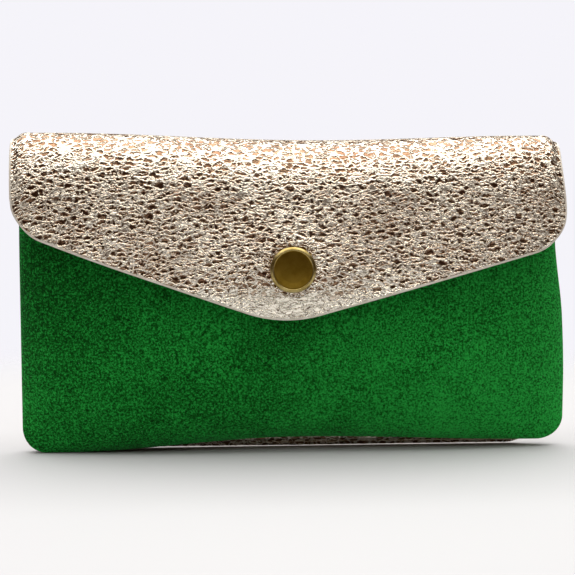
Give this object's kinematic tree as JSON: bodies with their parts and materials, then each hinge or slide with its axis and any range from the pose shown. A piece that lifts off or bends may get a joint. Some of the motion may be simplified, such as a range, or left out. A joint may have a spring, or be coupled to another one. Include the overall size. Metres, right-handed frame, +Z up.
{
  "type": "snap flap card purse",
  "caption": "Small suede and metallic leather card purse, sewn inside out, whose back leather folds over the mouth as a pointed flap closed by a brass snap.",
  "frame": {"origin": "on the standing surface, under the middle of the purse's box", "axes": "+X along the width to the wearer's right as seen from the front, -Y out of the suede front, +Z up"},
  "size_m": [0.14, 0.0224, 0.08],
  "materials": {
    "suede": "napped suede, matt with a soft sheen",
    "metallic_leather": "champagne gold foil on pebbled grain, glossy",
    "lining_leather": "plain natural lining leather, matt",
    "thread": "twisted polyester sewing thread",
    "green_thread": "twisted polyester sewing thread",
    "antique_brass": "antiqued, satin face with a bright bevelled rim",
    "brass": "satin stamped brass",
    "spring_steel": "drawn spring wire",
    "felt": "pressed felt"
  },
  "bodies": {
    "pouch": {"front_panel": "suede", "back_panel": "metallic_leather", "divider": "lining_leather", "card_pocket_rear": "lining_leather", "card_pocket_front": "lining_leather", "seam_thread": "thread", "hem_thread": "green_thread", "pocket_thread": "thread", "snap_stud": "brass", "snap_post": "brass", "snap_washer": "felt"},
    "fold": {"flap_fold": "metallic_leather"},
    "flap": {"flap": "metallic_leather", "snap_cap": "antique_brass", "snap_socket": "brass", "snap_spring": "spring_steel"}
  },
  "joints": [
    {"name": "fold_hinge", "type": "hinge", "parent": "pouch", "child": "fold", "pos_m": [0, 0.00666, 0.07846], "axis": [-1, 0, 0], "range_deg": [0, 90]},
    {"name": "flap_hinge", "type": "hinge", "parent": "fold", "child": "flap", "pos_m": [0, -0.00026, 0.07846], "axis": [-1, 0, 0], "range_deg": [0, 90]}
  ],
  "couplings": [
    {"joint": "flap_hinge", "follows": "fold_hinge", "ratio": 1}
  ]
}
